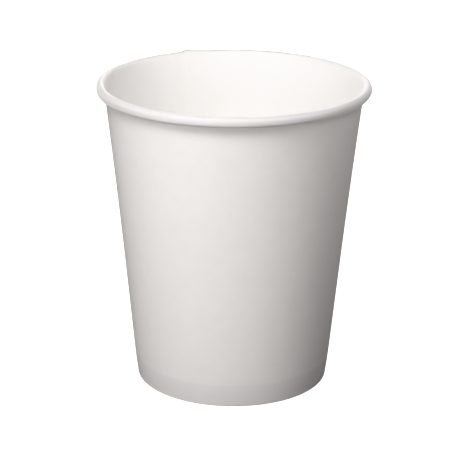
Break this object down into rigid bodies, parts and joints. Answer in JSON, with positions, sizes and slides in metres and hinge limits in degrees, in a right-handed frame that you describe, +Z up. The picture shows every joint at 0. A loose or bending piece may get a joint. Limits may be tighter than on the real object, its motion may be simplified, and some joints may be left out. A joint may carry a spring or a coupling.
{
  "type": "paper cup",
  "caption": "Tapered single-wall paper cup for hot drinks, with a rolled rim, a lapped side seam and a recessed bottom disc.",
  "frame": {"origin": "centre of the foot ring, on the surface that the cup stands on", "axes": "+Z up along the cup's axis to its mouth, -Y towards the picture's viewer, with the lap seam at the back, left of +Y"},
  "size_m": [0.08, 0.08, 0.0907],
  "materials": {
    "wall_board": "matte",
    "bottom_board": "satin"
  },
  "bodies": {
    "root": {"sidewall": "wall_board", "bottom_disc": "bottom_board"}
  },
  "joints": []
}
